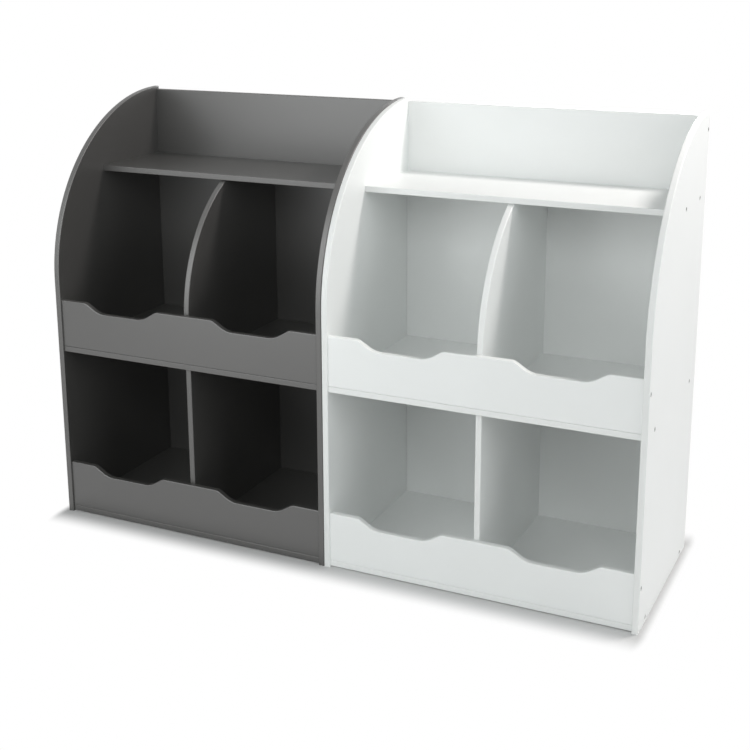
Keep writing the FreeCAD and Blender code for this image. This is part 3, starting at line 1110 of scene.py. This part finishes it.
class ORGANIZER_OT_stage(bpy.types.Operator):
    """Make the floor, the lamps, the studio and the camera"""

    bl_idname = "organizer.stage"
    bl_label = "Stage"

    def execute(self, context):
        stage = context.scene.organizer_stage
        add_floor()
        add_world()
        middle = (0.0, 0.0, 0.5)
        add_softbox("Key lamp", (1.15, 0.459, 2.0), (0.2, 0.0, 0.6), 0.3, 0.3,
                    stage.key_lamp, stage.key_tint)
        add_softbox("Right side softbox", (3.2, -0.9, 1.7), middle, 1.8, 2.0,
                    stage.right_side, stage.soft_tint)
        add_softbox("Camera softbox", (1.2, -3.2, 2.2), middle, 2.0, 1.5,
                    stage.over_camera, stage.soft_tint)
        add_softbox("High front softbox", (-0.5, -2.0, 2.0), middle, 1.6, 1.0,
                    stage.high_front, stage.soft_tint)
        add_softbox("Left front softbox", (-0.9, -1.6, 1.2), (-0.1, 0.0, 0.5), 1.2, 1.2,
                    stage.left_front, stage.soft_tint)
        add_softbox("Low left softbox", (-0.7, -1.7, 0.45), (-0.1, 0.0, 0.5), 1.2, 0.8,
                    stage.left_low, stage.soft_tint)
        add_softbox("Rear softbox", (-0.2, 3.0, 1.6), middle, 1.4, 1.5,
                    stage.rear, stage.soft_tint)
        add_camera()
        context.scene.view_settings.view_transform = "Standard"
        return {"FINISHED"}


class ORGANIZER_PT_pieces(bpy.types.Panel):
    """Lists the steps that make the pair of organizers"""

    bl_idname = "ORGANIZER_PT_pieces"
    bl_label = "Toy organizer pair"
    bl_space_type = "VIEW_3D"
    bl_region_type = "UI"
    bl_category = "Organizer"

    def draw(self, context):
        for step in STEPS:
            self.layout.operator(step.bl_idname)
        for name, label in GROUPS:
            box = self.layout.box()
            box.label(text=label)
            group = getattr(context.scene, name)
            for key in group.__annotations__:
                box.prop(group, key)


STEPS = (
    ORGANIZER_OT_sides,
    ORGANIZER_OT_shelves,
    ORGANIZER_OT_backs,
    ORGANIZER_OT_dividers,
    ORGANIZER_OT_fronts,
    ORGANIZER_OT_screws,
    ORGANIZER_OT_dowels,
    ORGANIZER_OT_stage,
)
GROUPS = (
    ("organizer_boards", "Boards"),
    ("organizer_fronts", "Fronts"),
    ("organizer_screws", "Screws"),
    ("organizer_colours", "Colours"),
    ("organizer_stage", "Stage"),
)
GROUP_TYPES = (BoardSizes, FrontSizes, ScrewSizes, PaintColours, StageSettings)


def register():
    """Registers the classes and hangs the settings on the scene."""
    for kind in GROUP_TYPES + STEPS + (ORGANIZER_PT_pieces,):
        bpy.utils.register_class(kind)
    for (name, label), kind in zip(GROUPS, GROUP_TYPES):
        setattr(bpy.types.Scene, name, bpy.props.PointerProperty(type=kind, name=label))


def unregister():
    """Takes the settings and the classes away again."""
    for name, _ in GROUPS:
        delattr(bpy.types.Scene, name)
    for kind in reversed(GROUP_TYPES + STEPS + (ORGANIZER_PT_pieces,)):
        bpy.utils.unregister_class(kind)


def main():
    """Registers the add-on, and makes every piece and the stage."""
    register()
    bpy.ops.organizer.sides()
    bpy.ops.organizer.shelves()
    bpy.ops.organizer.backs()
    bpy.ops.organizer.dividers()
    bpy.ops.organizer.fronts()
    bpy.ops.organizer.screws()
    bpy.ops.organizer.dowels()
    bpy.ops.organizer.stage()


if __name__ == "__main__":
    main()
